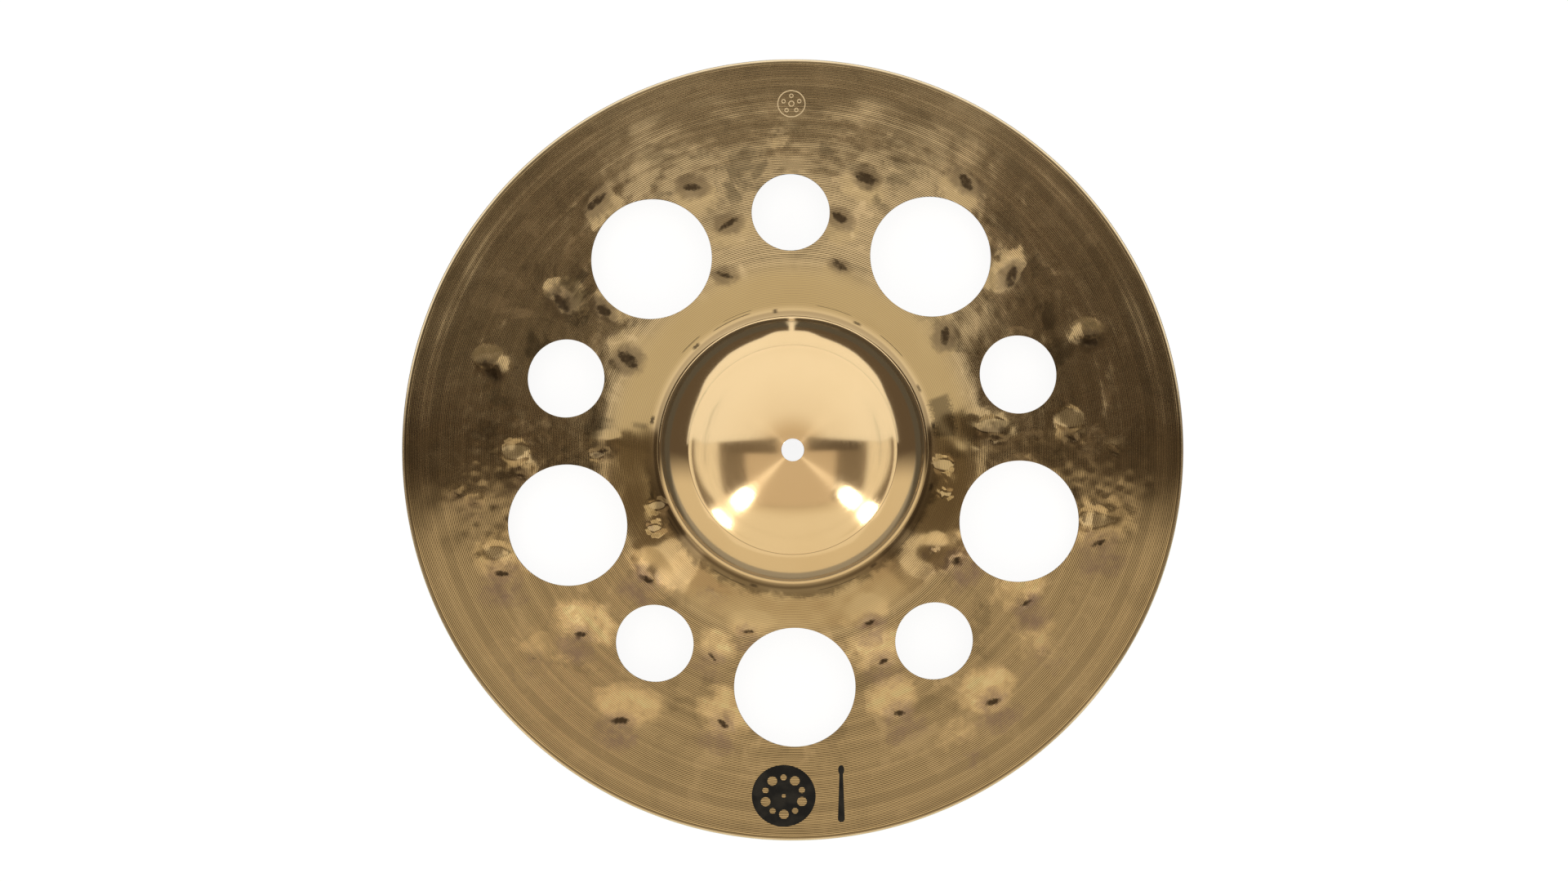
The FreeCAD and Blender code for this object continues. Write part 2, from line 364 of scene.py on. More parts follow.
def refine_blows(points, step):
    """Replace the points inside each deep blow by closer rings."""
    keep = np.ones(len(points), bool)
    patches = []
    for cx, cy, radius, depth in BLOWS:
        if depth < FINE_DEPTH:
            continue
        reach = radius * 0.95
        keep &= np.hypot(points[:, 0] - cx, points[:, 1] - cy) > reach
        rings = []
        for j in range(int(reach / step) + 1):
            r = j * step
            count = max(1, int(round(2 * math.pi * r / step)))
            rings.append(circle(cx, cy, r, count, 0.5 * (j % 2)))
        patches.append(np.concatenate(rings))
    refined = [points[keep]]
    for i, patch in enumerate(patches):
        free = np.ones(len(patch), bool)
        for other in patches[:i]:
            if np.hypot(*(other[0] - patch[0])) < 24:    # the first point is the centre
                gap = np.hypot(patch[:, None, 0] - other[None, :, 0],
                               patch[:, None, 1] - other[None, :, 1]).min(1)
                free &= gap > step * 0.6
        refined.append(patch[free])
    return np.concatenate(refined)


def bow_points(step, blow_step, outer_r):
    """Boundary loops and inside points of one face, and the loops as index ranges."""
    loops = [circle(0, 0, BOW_R, BELL_SEGMENTS), circle(0, 0, outer_r, RIM_SEGMENTS)]
    for cx, cy, r in TONE_HOLES:
        loops.append(circle(cx, cy, r + TONE_DEBURR, hole_count(r)))
    # rings of points, each about half a step round from its neighbour
    rings = []
    ring_count = int(round((outer_r - BOW_R) / (step * 0.88)))
    for j in range(1, ring_count):
        r = BOW_R + (outer_r - BOW_R) * j / ring_count
        rings.append(circle(0, 0, r, int(round(2 * math.pi * r / step)), 0.5 * (j % 2) + 0.137 * j))
    points = np.concatenate(rings)
    if blow_step:
        points = refine_blows(points, blow_step)
    # one ring hugging each tone hole
    keep = np.ones(len(points), bool)
    hugging = []
    for cx, cy, r in TONE_HOLES:
        distance = np.hypot(points[:, 0] - cx, points[:, 1] - cy)
        keep &= distance > r + TONE_DEBURR + 1.9
        hugging.append(circle(cx, cy, r + TONE_DEBURR + 0.9, hole_count(r), 0.5))
    r = np.hypot(points[:, 0], points[:, 1])
    keep &= (r > BOW_R + 0.6 * step) & (r < outer_r - 0.6 * step)
    ranges, start = [], 0
    for loop in loops:
        ranges.append((start, start + len(loop)))
        start += len(loop)
    return np.concatenate(loops + [points[keep]] + hugging), ranges


def triangulate(points, ranges):
    """Triangles over the points, facing up, with the bell and the tone holes left open."""
    edges = []
    for a, b in ranges:
        edges += [(i, i + 1) for i in range(a, b - 1)] + [(b - 1, a)]
    vertices, _, faces, origin, _, _ = delaunay_2d_cdt(
        [Vector((float(p[0]), float(p[1]))) for p in points], edges, [], 0, 1e-7
    )
    back = np.array([o[0] if len(o) else -1 for o in origin])
    if len(vertices) != len(points) or (back < 0).any():
        raise RuntimeError("the triangulation changed the points: %d of %d"
                           % (len(vertices), len(points)))
    tri = back[np.array([list(f) for f in faces])]
    centre = points[tri].mean(1)
    keep = (np.hypot(centre[:, 0], centre[:, 1])
            > BOW_R * math.cos(math.pi / BELL_SEGMENTS) - 1e-6)
    for cx, cy, r in TONE_HOLES:
        inside_r = (r + TONE_DEBURR) * math.cos(math.pi / hole_count(r)) - 1e-3
        keep &= np.hypot(centre[:, 0] - cx, centre[:, 1] - cy) > inside_r
    tri = tri[keep]
    a, b, c = points[tri].transpose(1, 0, 2)
    area = (b[:, 0] - a[:, 0]) * (c[:, 1] - a[:, 1]) - (b[:, 1] - a[:, 1]) * (c[:, 0] - a[:, 0])
    tri[area < 0] = tri[area < 0][:, ::-1]
    return tri[np.abs(area) > 1e-9]


# ---------------------------------------------------------------- the disc mesh
# Radii of the bell's rings, which crowd at the crease and at the foot.
TOP_RINGS = [
    6.5, 7.1, 8.0, 9.3, 11.0, 13.0, 15.5, 18.0, 21.0, 24.0, 27.0, 30.0, 33.0, 36.0, 39.0, 42.0,
    44.5, 46.8, 48.6, 49.5, 50.2, 51.4, 52.6, 53.8, 55.0, 56.0, 56.6, 57.0, 57.5, 58.0, 58.5,
    58.99, 59.01, 59.4, 59.8, 60.6, 61.7, 62.9, 64.1, 65.3, 66.5, 67.7, 68.9, 70.1, 71.3, 72.5,
    73.6, 74.3, 74.6, 74.9, 75.2, 75.5, 75.8, 76.1, 76.4, 76.7, 77.0, 77.3, 77.6, 78.3, 79.4,
    80.8, 82.6, 84.6, 87.0, 89.5,
]
UNDER_RINGS = [
    HOLE_R + 0.12, 7.0, 9.5, 12.5, 16.0, 20.0, 24.0, 28.0, 32.0, 36.0, 40.0, 44.0, 47.0, 49.0,
    51.0, 53.0, 55.0, 56.2, 57.2, 58.4, 60.0, 62.0, 64.5, 67.0, 69.5, 71.5, 73.0, 73.7, 74.3,
    75.0, 75.7, 76.5, 77.4, 79.0, 81.5, 85.0, 88.5,
]


class Build:
    """Collects vertices, normals, attributes and faces of one mesh."""

    def __init__(self):
        self.xyz, self.normals, self.lathe, self.marks, self.faces = [], [], [], [], []
        self.count = 0

    def add(self, xyz, normals, lathe, marks=0.0):
        start = self.count
        self.xyz.append(np.asarray(xyz, float))
        self.normals.append(np.asarray(normals, float))
        self.lathe.append(np.broadcast_to(np.asarray(lathe, float), (len(xyz),)))
        self.marks.append(np.broadcast_to(np.asarray(marks, float), (len(xyz), 2)))
        self.count += len(xyz)
        return np.arange(start, self.count)

    def heights(self, loop):
        return np.concatenate(self.xyz)[loop, 2]

    def add_faces(self, faces, flip=False):
        self.faces.append(faces[:, ::-1] if flip else faces)

    def strip(self, a, b, flip=False):
        """Quads between two closed loops of the same length."""
        self.add_faces(np.stack([a, np.roll(a, -1), np.roll(b, -1), b], 1), flip)

    def strips(self, loops, flip=False):
        for a, b in zip(loops, loops[1:]):
            self.strip(a, b, flip)


def add_face(build, step, blow_step, outer_r, bell_rings, under):
    """One face of the disc.  Returns its bow's boundary loops and the loop at the centre."""
    points, ranges = bow_points(step, blow_step, outer_r)
    xyz, normals, lathe, marks = sheet(points, under)
    bow = build.add(xyz, normals, lathe, 0.0 if under else marks)
    build.add_faces(bow[triangulate(points, ranges)], flip=under)
    loops = [bow[a:b] for a, b in ranges]
    outer = loops[0]
    for r in reversed(bell_rings):
        xyz, normals, _, _ = sheet(circle(0, 0, r, BELL_SEGMENTS), under)
        ring = build.add(xyz, normals, 1.0)
        build.strip(ring, outer, flip=not under)
        outer = ring
    return loops, outer


def add_mounting_wall(build, top, under):
    out = circle(0, 0, 1, BELL_SEGMENTS)
    top_z, under_z = build.heights(top), build.heights(under)
    bevel = 0.3 * DEBURR
    level = np.zeros(BELL_SEGMENTS)
    walls = [
        build.add(np.column_stack([out * (HOLE_R + bevel), top_z - bevel]),
                  np.column_stack([-out * 0.7, level + 0.7]), 0),
        build.add(np.column_stack([out * HOLE_R, top_z - DEBURR]),
                  np.column_stack([-out, level]), 0),
        build.add(np.column_stack([out * HOLE_R, under_z + DEBURR]),
                  np.column_stack([-out, level]), 0),
    ]
    build.strips([top] + walls + [under])


def add_tone_wall(build, hole, top, under):
    """Wall of one tone hole, with eased edges."""
    cx, cy, r = hole
    count = len(top)
    out = circle(0, 0, 1, count)
    top_z, under_z = build.heights(top), build.heights(under)
    loops = [top]
    for side, face_z, degrees in ((1, top_z, 35), (1, top_z, 65), (1, top_z, 90),
                                  (-1, under_z, 90), (-1, under_z, 50)):
        s, c = math.sin(math.radians(degrees)), math.cos(math.radians(degrees))
        xy = np.array([cx, cy]) + out * (r + TONE_DEBURR * (1 - s))
        xyz = np.column_stack([xy, face_z - side * TONE_DEBURR * (1 - c)])
        loops.append(build.add(xyz, np.column_stack([-out * s, np.full(count, side * c)]), 0))
    build.strips(loops + [under])


def add_rim(build, top, under, top_r, under_r):
    """The rounded edge between the two faces."""
    out = circle(0, 0, 1, RIM_SEGMENTS)
    end_s, end_c = math.sin(STATION_SLOPE[-1]), math.cos(STATION_SLOPE[-1])
    top_z, under_z = build.heights(top), build.heights(under)
    loops = [top]
    for side, face_r, face_z, angles in ((1, top_r, top_z, (40, 65, 90)),
                                         (-1, under_r, under_z, (90, 135, 170))):
        for degrees in angles:
            s, c = math.sin(math.radians(degrees)), math.cos(math.radians(degrees))
            r = face_r + (RIM_R - face_r) * (s - side * end_s) / (1 - side * end_s)
            z = face_z - side * EDGE_ROUND * (end_c - side * c)
            normals = np.column_stack([out * s, np.full(RIM_SEGMENTS, c)])
            loops.append(build.add(np.column_stack([out * r, z]), normals, 0))
    build.strips(loops + [under], flip=True)


def disc_mesh():
    build = Build()
    top_r = RIM_R - EDGE_ROUND
    under_r = top_r - THICKNESS[-1] * math.sin(STATION_SLOPE[-1])
    top, top_centre = add_face(build, TOP_STEP, BLOW_STEP, top_r, TOP_RINGS, under=False)
    under, under_centre = add_face(build, UNDER_STEP, None, under_r, UNDER_RINGS, under=True)
    add_mounting_wall(build, top_centre, under_centre)
    for hole, top_loop, under_loop in zip(TONE_HOLES, top[2:], under[2:]):
        add_tone_wall(build, hole, top_loop, under_loop)
    add_rim(build, top[1], under[1], top_r, under_r)
    return build


def to_object(build, name):
    xyz = np.concatenate(build.xyz) / 1000.0
    normals = np.concatenate(build.normals)
    normals /= np.linalg.norm(normals, axis=1)[:, None]
    loops = np.concatenate([f.ravel() for f in build.faces]).astype(np.int32)
    sizes = np.concatenate([np.full(len(f), f.shape[1]) for f in build.faces])
    starts = np.concatenate([[0], np.cumsum(sizes)[:-1]]).astype(np.int32)
    mesh = bpy.data.meshes.new(name)
    mesh.vertices.add(len(xyz))
    mesh.vertices.foreach_set("co", xyz.astype(np.float32).ravel())
    mesh.loops.add(len(loops))
    mesh.loops.foreach_set("vertex_index", loops)
    mesh.polygons.add(len(sizes))
    mesh.polygons.foreach_set("loop_start", starts)
    mesh.update(calc_edges=True)
    mesh.validate()
    mesh.polygons.foreach_set("use_smooth", np.ones(len(sizes), bool))
    marks = np.concatenate(build.marks)
    for label, values in (("lathe", np.concatenate(build.lathe)),
                          ("skin", marks[:, 0]), ("blow_shade", marks[:, 1])):
        attribute = mesh.attributes.new(label, "FLOAT", "POINT")
        attribute.data.foreach_set("value", np.ascontiguousarray(values, dtype=np.float32))
    mesh.normals_split_custom_set_from_vertices(normals.astype(np.float32).tolist())
    mesh.update()
    ob = bpy.data.objects.new(name, mesh)
    bpy.context.scene.collection.objects.link(ob)
    return ob


disc = to_object(disc_mesh(), "cymbal_disc_hammered")


# ---------------------------------------------------------------- node helpers
def empty_tree(owner):
    owner.use_nodes = True
    owner.node_tree.nodes.clear()
    return owner.node_tree


def add(tree, kind, inputs=None, **settings):
    """Add a node, feed its inputs with Values or constants, and return its first output."""
    node = tree.nodes.new(kind)
    for key, setting in settings.items():
        setattr(node, key, setting)
    for key, source in (inputs or {}).items():
        if isinstance(source, Value):
            tree.links.new(source.socket, node.inputs[key])
        else:
            node.inputs[key].default_value = source
    return Value(tree, node.outputs[0])


def set_output(kind, shader):
    shader.tree.links.new(shader.socket, shader.tree.nodes.new(kind).inputs[0])


def tree_of(*terms):
    return next(term.tree for term in terms if isinstance(term, Value))


def calc(operation, *terms):
    return add(tree_of(*terms), "ShaderNodeMath", dict(enumerate(terms)), operation=operation)


class Value:
    """A node's output; arithmetic on it adds nodes to its tree."""

    def __init__(self, tree, socket):
        self.tree, self.socket = tree, socket

    def output(self, key):
        """Another output of the same node."""
        return Value(self.tree, self.socket.node.outputs[key])

    def __add__(self, other): return calc("ADD", self, other)
    __radd__ = __add__
    def __sub__(self, other): return calc("SUBTRACT", self, other)
    def __rsub__(self, other): return calc("SUBTRACT", other, self)
    def __mul__(self, other): return calc("MULTIPLY", self, other)
    __rmul__ = __mul__
    def __truediv__(self, other): return calc("DIVIDE", self, other)
    def __mod__(self, other): return calc("MODULO", self, other)
    def sin(self): return calc("SINE", self)
    def cos(self): return calc("COSINE", self)
    def abs(self): return calc("ABSOLUTE", self)
    def max(self, other): return calc("MAXIMUM", self, other)
    def min(self, other): return calc("MINIMUM", self, other)
    def sqrt(self): return calc("SQRT", self)

    def ramp(self, start, end, to=(0.0, 1.0), smooth=True):
        """Map start..end to the two values of to, held beyond the ends."""
        inputs = {"Value": self, "From Min": start, "From Max": end,
                  "To Min": to[0], "To Max": to[1]}
        kind = "SMOOTHSTEP" if smooth else "LINEAR"
        node = add(self.tree, "ShaderNodeMapRange", inputs, interpolation_type=kind, clamp=True)
        return node.output("Result")

    def band(self, start, end, soft):
        """1 between start and end, 0 outside."""
        return (self.ramp(start - soft, start + soft)
                * (1.0 - self.ramp(end - soft, end + soft)))

    def noise(self, scale, detail, rough, distortion=0.0, dims="3D"):
        inputs = {"W" if dims == "1D" else "Vector": self, "Scale": scale, "Detail": detail,
                  "Roughness": rough, "Distortion": distortion}
        return add(self.tree, "ShaderNodeTexNoise", inputs, noise_dimensions=dims).output("Fac")


def xyz_of(vector):
    node = add(vector.tree, "ShaderNodeSeparateXYZ", {0: vector})
    return [node.output(i) for i in range(3)]


def vec(x, y, z):
    return add(tree_of(x, y, z), "ShaderNodeCombineXYZ", {0: x, 1: y, 2: z})


def mix(first, second, share):
    """Colour first where share is 0, second where it is 1."""
    inputs = {0: share, 6: first, 7: second}
    return add(share.tree, "ShaderNodeMix", inputs, data_type="RGBA").output(2)


def scale(colour, factor):
    inputs = {0: colour[:3] if isinstance(colour, tuple) else colour, 3: factor}
    return add(tree_of(colour, factor), "ShaderNodeVectorMath", inputs, operation="SCALE")


def attribute_of(tree, name):
    return add(tree, "ShaderNodeAttribute", attribute_name=name,
               attribute_type="GEOMETRY").output("Fac")


def bump_of(height):
    """Bump from a height in millimetres."""
    inputs = {"Strength": 1.0, "Distance": 0.001, "Height": height}
    return add(height.tree, "ShaderNodeBump", inputs)


def rgb(r, g, b):
    return (r, g, b, 1.0)


class Place:
    """Object coordinates in millimetres, and the distance r from the axis."""

    def __init__(self, tree):
        self.tree = tree
        axes = xyz_of(add(tree, "ShaderNodeTexCoord").output("Object"))
        self.x, self.y, self.z = [axis * 1000.0 for axis in axes]
        self.r = (self.x * self.x + self.y * self.y).sqrt()

    def noise(self, **settings):
        return vec(self.x, self.y, self.z).noise(**settings)


# ---------------------------------------------------------------- bronze
GROOVE_PITCH = 1.0
GROOVE_LEAN = 0.66                         # share of the pitch that leans outward

BELL_BRIGHT, BELL_DULL = rgb(0.94, 0.695, 0.385), rgb(0.86, 0.61, 0.31)
BOW_BROWN, BOW_MOTTLE = rgb(0.52, 0.36, 0.155), rgb(0.60, 0.42, 0.22)
GROOVE_FACE, GROOVE_SHADE = rgb(0.735, 0.53, 0.273), rgb(0.075, 0.048, 0.022)
BOW_BRIGHT = rgb(0.86, 0.63, 0.34)
# painted shade for the crease, the bell's foot and the dark belt round the foot's front
CREASE_SHADE, BELL_FOOT_SHADE, FOOT_BELT_SHADE = rgb(0.30, 0.20, 0.10), rgb(0.20, 0.135, 0.065), rgb(0.12, 0.078, 0.038)
STAMP = rgb(0.95, 0.74, 0.45)
# a painted dark line and a painted highlight for the rim
RIM_SHADE_LINE, RIM_HIGHLIGHT = rgb(0.16, 0.11, 0.055), rgb(0.98, 0.80, 0.52)
# the lathe's smears, then painted dark shade for the cores of the blows
SMEAR, PAINTED_CORE_SHADE = rgb(0.07, 0.047, 0.025), rgb(0.055, 0.035, 0.018)
# painted shade round the blows, a darker copy for the back and a lighter one for the front
BLOW_SHADE_BACK, BLOW_SHADE_FRONT = rgb(0.17, 0.115, 0.060), rgb(0.30, 0.20, 0.155)

# Where the lathe tool was set down beside the bell: radius, first and last azimuth
# in degrees, half width, strength.
SMEARS = [
    (81.6, 107, 123, 0.30, 0.75), (83.2, 106, 118, 0.22, 0.55), (79.9, 96, 97.5, 1.3, 0.85),
    (80.9, 131, 134, 1.1, 0.85), (84.0, 129, 138, 0.35, 0.6), (82.0, 166, 169, 1.2, 0.85),
    (88.5, 169.5, 171.5, 5.0, 0.45), (80.2, 24, 27, 0.9, 0.7), (82.4, 40, 52, 0.28, 0.65),
    (81.0, 61, 64, 0.9, 0.75), (83.6, 66, 80, 0.25, 0.5), (81.5, 8, 10.5, 1.1, 0.8),
    (81.0, 208, 216, 0.35, 0.55), (82.0, 236, 250, 0.30, 0.6), (80.6, 252, 255, 0.9, 0.7),
    (81.4, 280, 297, 0.28, 0.6), (88.0, 4.5, 19.5, 7.0, 0.62), (80.4, 303, 306, 0.9, 0.7),
    (82.6, 318, 331, 0.30, 0.5), (81.8, 343, 346, 1.0, 0.7), (84.5, 196, 199, 1.0, 0.6),
]

# The roundel pressed into the metal opposite the printed mark.
STAMP_X, STAMP_Y, STAMP_DOT_PITCH_R = 1.0, 201.5, 4.8


def stamp_mask(x, y):
    """A ring, a hub and five dots, each drawn as a line between two radii."""
    dx, dy = x - STAMP_X, y - STAMP_Y
    distance = (dx * dx + dy * dy).sqrt()
    line = distance.band(7.65, 8.20, soft=0.10).max(distance.band(1.25, 1.75, soft=0.09))
    for k in range(5):
        a = math.radians(90 + 72 * k)
        ex, ey = dx - STAMP_DOT_PITCH_R * math.cos(a), dy - STAMP_DOT_PITCH_R * math.sin(a)
        line = line.max((ex * ex + ey * ey).sqrt().band(0.80, 1.25, soft=0.08))
    return line


class Bronze(Place):
    """The fields that the bronze's relief, colour and gloss share."""

    def __init__(self, tree):
        super().__init__(tree)
        x, y, r = self.x, self.y, self.r
        self.kept = attribute_of(tree, "lathe")
        self.out_x, self.out_y = x / r.max(0.01), y / r.max(0.01)      # outward unit vector
        # how much of the lathe's work is left, with torn edges round the blows
        self.torn = self.noise(scale=0.13, detail=4.0, rough=0.62, distortion=0.4)
        ragged = (self.torn - 0.5) * 1.4 * (1.0 - self.kept).ramp(0.0, 0.25)
        self.lathe = 1.0 - (1.0 - self.kept + ragged).ramp(0.25, 0.95) * 0.66
        # the lathe cut hard on the bow, lightly just inside it and not on the bell
        self.bow = r.ramp(96.0, 112.0)
        self.cut = r.ramp(79.5, 85.0, to=(0.0, 0.38)) + self.bow * 0.62
        self.rings = r.noise(scale=0.16, detail=3.0, rough=0.6, dims="1D")
        # place across a groove, 0 to 1 outward, and its far, steep flank
        wobble = r.noise(scale=0.07, detail=2.0, rough=0.5, dims="1D")
        self.across = calc("FRACT", r / GROOVE_PITCH + wobble * 0.9)
        self.steep = self.across.ramp(GROOVE_LEAN - 0.10, GROOVE_LEAN + 0.06)
        # polishing scratches, long round the disc and short across it
        around = vec(r * 2.6, self.out_x * 5.0, self.out_y * 5.0)
        self.scratch = around.noise(scale=1.0, detail=3.0, rough=0.6)
        # the roundel and the smears are on the top face only
        normal = add(tree, "ShaderNodeNewGeometry").output("True Normal")
        self.top = xyz_of(normal)[2].ramp(0.0, 0.2)
        self.stamp = stamp_mask(x, y) * self.top
        # painted dark shade at the bottom of each hard blow
        skin = attribute_of(tree, "skin")
        ragged = self.noise(scale=0.42, detail=3.0, rough=0.62)
        self.skin = skin.ramp(0.02, 0.25) * (skin + (ragged - 0.5) * 1.3).ramp(0.30, 1.0)

    def grooves(self):
        """Height of the tonal grooves, which the lathe cut unevenly."""
        r = self.r
        finer = (r + 40.0).noise(scale=0.9, detail=2.0, rough=0.5, dims="1D")
        patch = vec(self.x, self.y, 0.0).noise(scale=0.035, detail=2.0, rough=0.5)
        depth = (self.rings.ramp(0.30, 0.70, to=(0.88, 1.10), smooth=False)
                 * finer.ramp(0.25, 0.75, to=(0.96, 1.03), smooth=False))
        depth = depth * patch.ramp(0.3, 0.7, to=(0.92, 1.06), smooth=False)
        # tangent of the outward lean: up at the bow, rising, then easing to the rim
        lean = (r.ramp(105.0, 114.0, to=(0.02, 0.105))
                + r.ramp(121.0, 182.0, to=(0.0, 0.062), smooth=False)
                + r.ramp(182.0, 228.0, to=(0.0, -0.030), smooth=False))
        flanks = GROOVE_LEAN / (1 - GROOVE_LEAN)
        saw = calc("SMOOTH_MIN", self.across, (1.0 - self.across) * flanks, 0.16)
        return saw * lean * (-GROOVE_PITCH) * depth * self.cut * self.lathe

    def height(self):
        r = self.r
        scratches = (self.scratch - 0.5) * (0.0012 + 0.004 * self.bow)
        # a dip just inside the rim, then a rise to its edge
        edge = (r.ramp(227.1, 228.6, to=(0.0, 0.24), smooth=False)
                - r.ramp(226.1, 227.1, to=(0.0, 0.16), smooth=False))
        return self.grooves() * r.ramp(227.2, 226.4) + scratches + edge - self.stamp * 0.03

    def lathed_colour(self):
        """Brilliant bronze on the bell, browner where the lathe left its skin."""
        r, out_y, bow = self.r, self.out_y, self.bow
        tone = self.noise(scale=0.018, detail=3.0, rough=0.55)
        mottle = self.noise(scale=0.11, detail=3.0, rough=0.6)
        blot = self.noise(scale=0.042, detail=4.0, rough=0.62, distortion=0.35)
        colour = mix(BELL_BRIGHT, BELL_DULL, tone.ramp(0.45, 0.75, to=(0.0, 0.30)))
        # the bow's brown, weaker on the front half: painted light
        colour = mix(colour, BOW_BROWN,
                     r.ramp(75.5, 84.0, to=(0.0, 0.90)) * out_y.ramp(-0.8, -0.3, to=(0.70, 1.0)))
        colour = mix(colour, BOW_MOTTLE, bow * mottle.ramp(0.42, 0.72, to=(0.0, 0.35)))
        # grooves: ringed faces and shaded steep flanks, fainter inside the bow
        ring_tone = self.rings.ramp(0.32, 0.68, to=(0.84, 1.08), smooth=False)
        face = mix(scale(GROOVE_FACE, ring_tone), GROOVE_SHADE, self.steep)
        colour = mix(colour, face, bow * (0.35 + 0.65 * self.lathe))
        colour = mix(colour, scale(colour, 0.62), (self.cut - bow).max(0.0) * self.steep * 1.6)
        # dark and bright blots, weaker towards the rim; the dark ones are weaker on the front half
        # and at the back of the inner bow, which is painted light
        inner = 1.0 - r.ramp(150.0, 205.0, to=(0.0, 0.70))
        spared = 1.0 - out_y.ramp(0.55, 0.9) * r.ramp(155.0, 138.0) * 0.7
        dark = bow * inner * blot.ramp(0.52, 0.64) * out_y.ramp(-0.9, 0.2, to=(0.45, 1.0)) * spared
        colour = mix(colour, scale(colour, 0.52), dark)
        return mix(colour, BOW_BRIGHT, bow * inner * blot.ramp(0.44, 0.34) * 0.40)

    def lined_colour(self, colour):
        """Add the painted shade at the crease and round the bell's foot, the roundel, and the rim's
        painted dark line and highlight.
        """
        r, out_y = self.r, self.out_y
        # painted shade in the crease, on the front half only, and at the foot of the bell, stronger
        # in front
        colour = mix(colour, CREASE_SHADE,
                     r.band(58.85, 59.15, soft=0.15) * 0.75 * out_y.ramp(0.3, -0.2))
        colour = mix(colour, BELL_FOOT_SHADE,
                     r.band(76.6, 79.6, soft=0.8) * out_y.ramp(0.6, 0.0, to=(0.50, 0.80)))
        # painted shade: a dark ragged belt round the front of the foot
        foot_belt_mask = (r.ramp(77.0, 79.0) * (r + (self.torn - 0.5) * 14.0).ramp(87.5, 81.5)
                * out_y.ramp(0.15, -0.35))
        colour = mix(colour, FOOT_BELT_SHADE, foot_belt_mask * self.top * 0.74)
        colour = mix(colour, STAMP, self.stamp * 0.85)
        # a painted dark line just inside the rim and a painted highlight on its edge
        colour = mix(colour, RIM_SHADE_LINE, r.band(226.3, 227.1, soft=0.2) * 0.7)
        return mix(colour, RIM_HIGHLIGHT, r.ramp(227.2, 227.5) * 0.85)

    def smeared_colour(self, colour):
        azimuth = calc("ARCTAN2", self.y, self.x) * (180 / math.pi)
        chip = self.noise(scale=0.9, detail=3.0, rough=0.7)
        for smear_r, first, last, width, strength in SMEARS:
            away = ((azimuth - (first + last) / 2 + 540.0) % 360.0 - 180.0).abs()
            off = (self.r - smear_r).abs() + (chip - 0.5) * 1.4 * width
            half = (last - first) / 2
            on = away.ramp(half + 0.9, half - 0.9) * off.ramp(width * 1.15, width * 0.55)
            colour = mix(colour, SMEAR, on * self.top * strength)
        return colour

    def struck_colour(self, colour):
        """Add the painted sheen of the smoothed places, the painted shade round the blows and the
        painted dark shade in their cores.
        """
        out_y = self.out_y
        blow_shade = attribute_of(self.tree, "blow_shade")
        blow_shade = (blow_shade + (self.torn - 0.5) * 0.9 * blow_shade.ramp(0.0, 0.15)).ramp(0.06, 0.62)
        smooth = 1.0 - self.kept
        cloud = self.noise(scale=0.085, detail=2.0, rough=0.5, distortion=0.5)
        # painted sheen: the places smoothed by blows are made brighter on the front half
        painted_sheen = (smooth.ramp(0.0, 0.35) * (smooth + (cloud - 0.5) * 2.0).ramp(0.15, 1.05)
                * out_y.ramp(0.1, -0.4) * self.bow)
        colour = mix(colour, scale(colour, 1.55), painted_sheen)
        # painted shade round the blows, lighter on the front half
        blow_shade_colour = mix(BLOW_SHADE_BACK, BLOW_SHADE_FRONT, out_y.ramp(0.0, -0.5))
        colour = mix(colour, blow_shade_colour, blow_shade * 0.72)
        # painted dark shade in the core of each hard blow
        return mix(colour, PAINTED_CORE_SHADE, self.skin * 0.94)

    def shader(self):
        r, bow = self.r, self.bow
        bump = bump_of(self.height())
        colour = self.lined_colour(self.lathed_colour())
        colour = self.struck_colour(self.smeared_colour(colour))
        tangent = add(self.tree, "ShaderNodeTangent", direction_type="RADIAL", axis="Z")
        rough = (0.075 + bow * self.lathe * 0.055 + self.scratch.ramp(0.35, 0.75, to=(0.0, 0.04))
                 + self.stamp * 0.2 + self.skin * 0.15)
        metal = add(self.tree, "ShaderNodeBsdfPrincipled", {
            "Base Color": colour, "Metallic": 1.0, "Roughness": rough, "Anisotropic": 0.60,
            "Anisotropic Rotation": 0.25, "Tangent": tangent, "Normal": bump})
        # the haze of fine circular scratches, which draws lamps out into spokes
        haze = add(self.tree, "ShaderNodeBsdfAnisotropic", {
            "Color": scale(colour, 1.0), "Roughness": 0.25, "Anisotropy": 0.68,
            "Rotation": 0.0, "Tangent": tangent, "Normal": bump})
        crown = 1.0 - r.ramp(56.0, 66.0)
        share = crown * 0.06 + r.ramp(34.0, 9.0) * 0.17 + bow * 0.03
        return add(self.tree, "ShaderNodeMixShader", {0: share, 1: metal, 2: haze})


def bronze_material():
    material = bpy.data.materials.new("bronze_lathed")
    set_output("ShaderNodeOutputMaterial", Bronze(empty_tree(material)).shader())
    return material


# ---------------------------------------------------------------- ink
INK_BLACK, INK_WORN = rgb(0.010, 0.0095, 0.009), rgb(0.030, 0.027, 0.022)
INK_RING_PITCH = 0.80


def ink_material():
    material = bpy.data.materials.new("printed_ink")
    place = Place(empty_tree(material))
    grain = place.noise(scale=1.8, detail=3.0, rough=0.6)
    cloud = place.noise(scale=0.12, detail=2.0, rough=0.5)
    height = (place.r / INK_RING_PITCH * 2 * math.pi).sin() * 0.010 + grain * 0.006
    set_output("ShaderNodeOutputMaterial", add(place.tree, "ShaderNodeBsdfPrincipled", {
        "Base Color": mix(INK_BLACK, INK_WORN, cloud.ramp(0.35, 0.7)),
        "Roughness": grain.ramp(0.3, 0.7, to=(0.34, 0.50)),
        "Specular IOR Level": 0.18, "Normal": bump_of(height)}))
    return material


disc.data.materials.append(bronze_material())
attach(disc, "root")
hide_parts("cymbal_disc")

